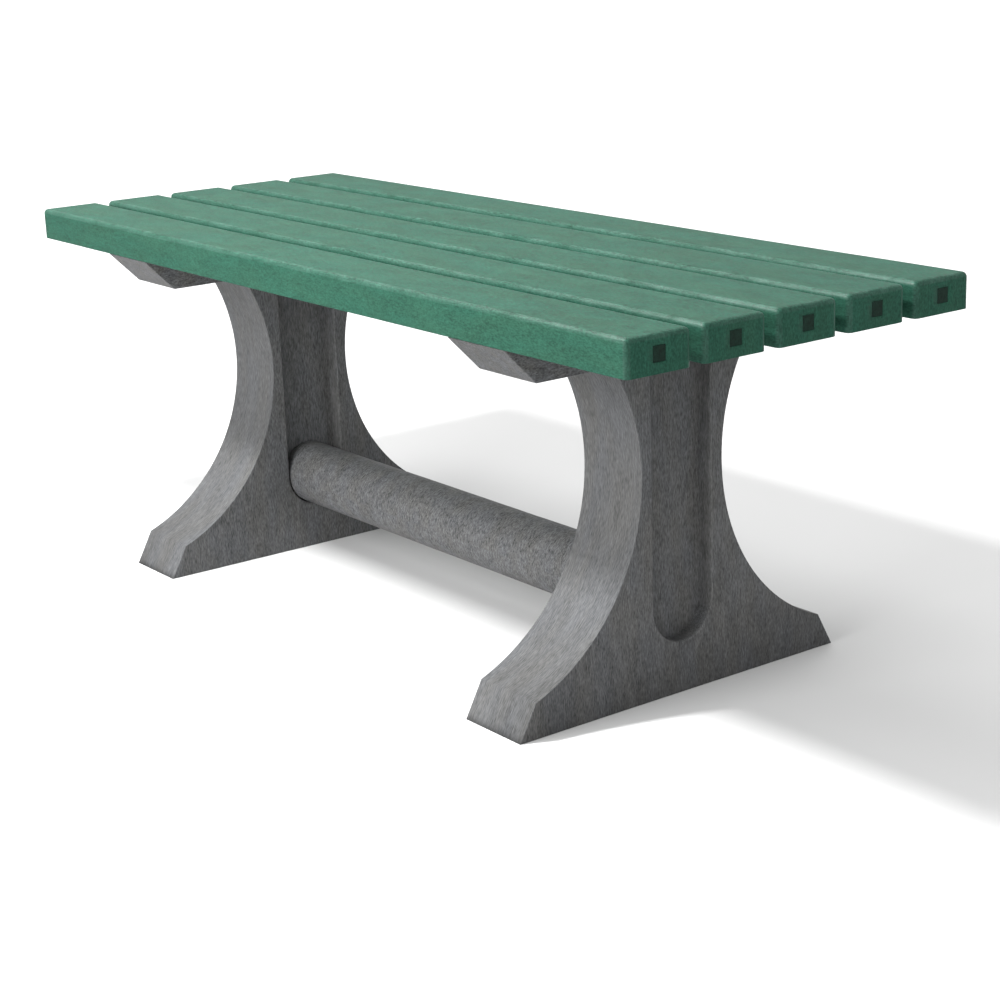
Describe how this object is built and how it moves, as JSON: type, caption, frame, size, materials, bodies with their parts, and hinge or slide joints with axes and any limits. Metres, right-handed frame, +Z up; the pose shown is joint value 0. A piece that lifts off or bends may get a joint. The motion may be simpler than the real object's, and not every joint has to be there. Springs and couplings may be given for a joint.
{
  "type": "backless bench",
  "caption": "Backless park bench: long recycled-plastic planks across two waisted pedestal legs tied by a low round stretcher bar.",
  "frame": {"origin": "on the ground under the middle of the seat, at the bottom centre of the bounding box", "axes": "+X along the planks, +Z up, -Y towards one of the two long sides; the bench looks the same from both long sides"},
  "size_m": [1.2, 0.4624, 0.454],
  "materials": {
    "plank_green": "mottled green recycled plastic with a fine grain along the plank",
    "plug_dark_green": "dark green moulded plastic, matt",
    "leg_grey": "moulded grey recycled plastic with flow streaks",
    "beam_grey": "blotchy grey recycled plastic",
    "bar_grey": "speckled grey recycled plastic",
    "core_steel": "mill-finish square steel tube",
    "fixing_steel": "stainless steel"
  },
  "bodies": {
    "root": {"seat_plank_1": "plank_green", "plank_core_tube_1": "core_steel", "seat_plank_2": "plank_green", "plank_core_tube_2": "core_steel", "seat_plank_3": "plank_green", "plank_core_tube_3": "core_steel", "seat_plank_4": "plank_green", "plank_core_tube_4": "core_steel", "seat_plank_5": "plank_green", "plank_core_tube_5": "core_steel", "stretcher_bar": "bar_grey", "leg_left": "leg_grey", "crossbeam_left": "beam_grey", "bar_stud_left": "fixing_steel", "coach_screws_left": "fixing_steel", "coach_washers_left": "fixing_steel", "end_plug_left_1": "plug_dark_green", "plank_screws_left_1": "fixing_steel", "end_plug_left_2": "plug_dark_green", "plank_screws_left_2": "fixing_steel", "end_plug_left_3": "plug_dark_green", "plank_screws_left_3": "fixing_steel", "end_plug_left_4": "plug_dark_green", "plank_screws_left_4": "fixing_steel", "end_plug_left_5": "plug_dark_green", "plank_screws_left_5": "fixing_steel", "leg_right": "leg_grey", "crossbeam_right": "beam_grey", "bar_stud_right": "fixing_steel", "coach_screws_right": "fixing_steel", "coach_washers_right": "fixing_steel", "end_plug_right_1": "plug_dark_green", "plank_screws_right_1": "fixing_steel", "end_plug_right_2": "plug_dark_green", "plank_screws_right_2": "fixing_steel", "end_plug_right_3": "plug_dark_green", "plank_screws_right_3": "fixing_steel", "end_plug_right_4": "plug_dark_green", "plank_screws_right_4": "fixing_steel", "end_plug_right_5": "plug_dark_green", "plank_screws_right_5": "fixing_steel"}
  },
  "joints": []
}
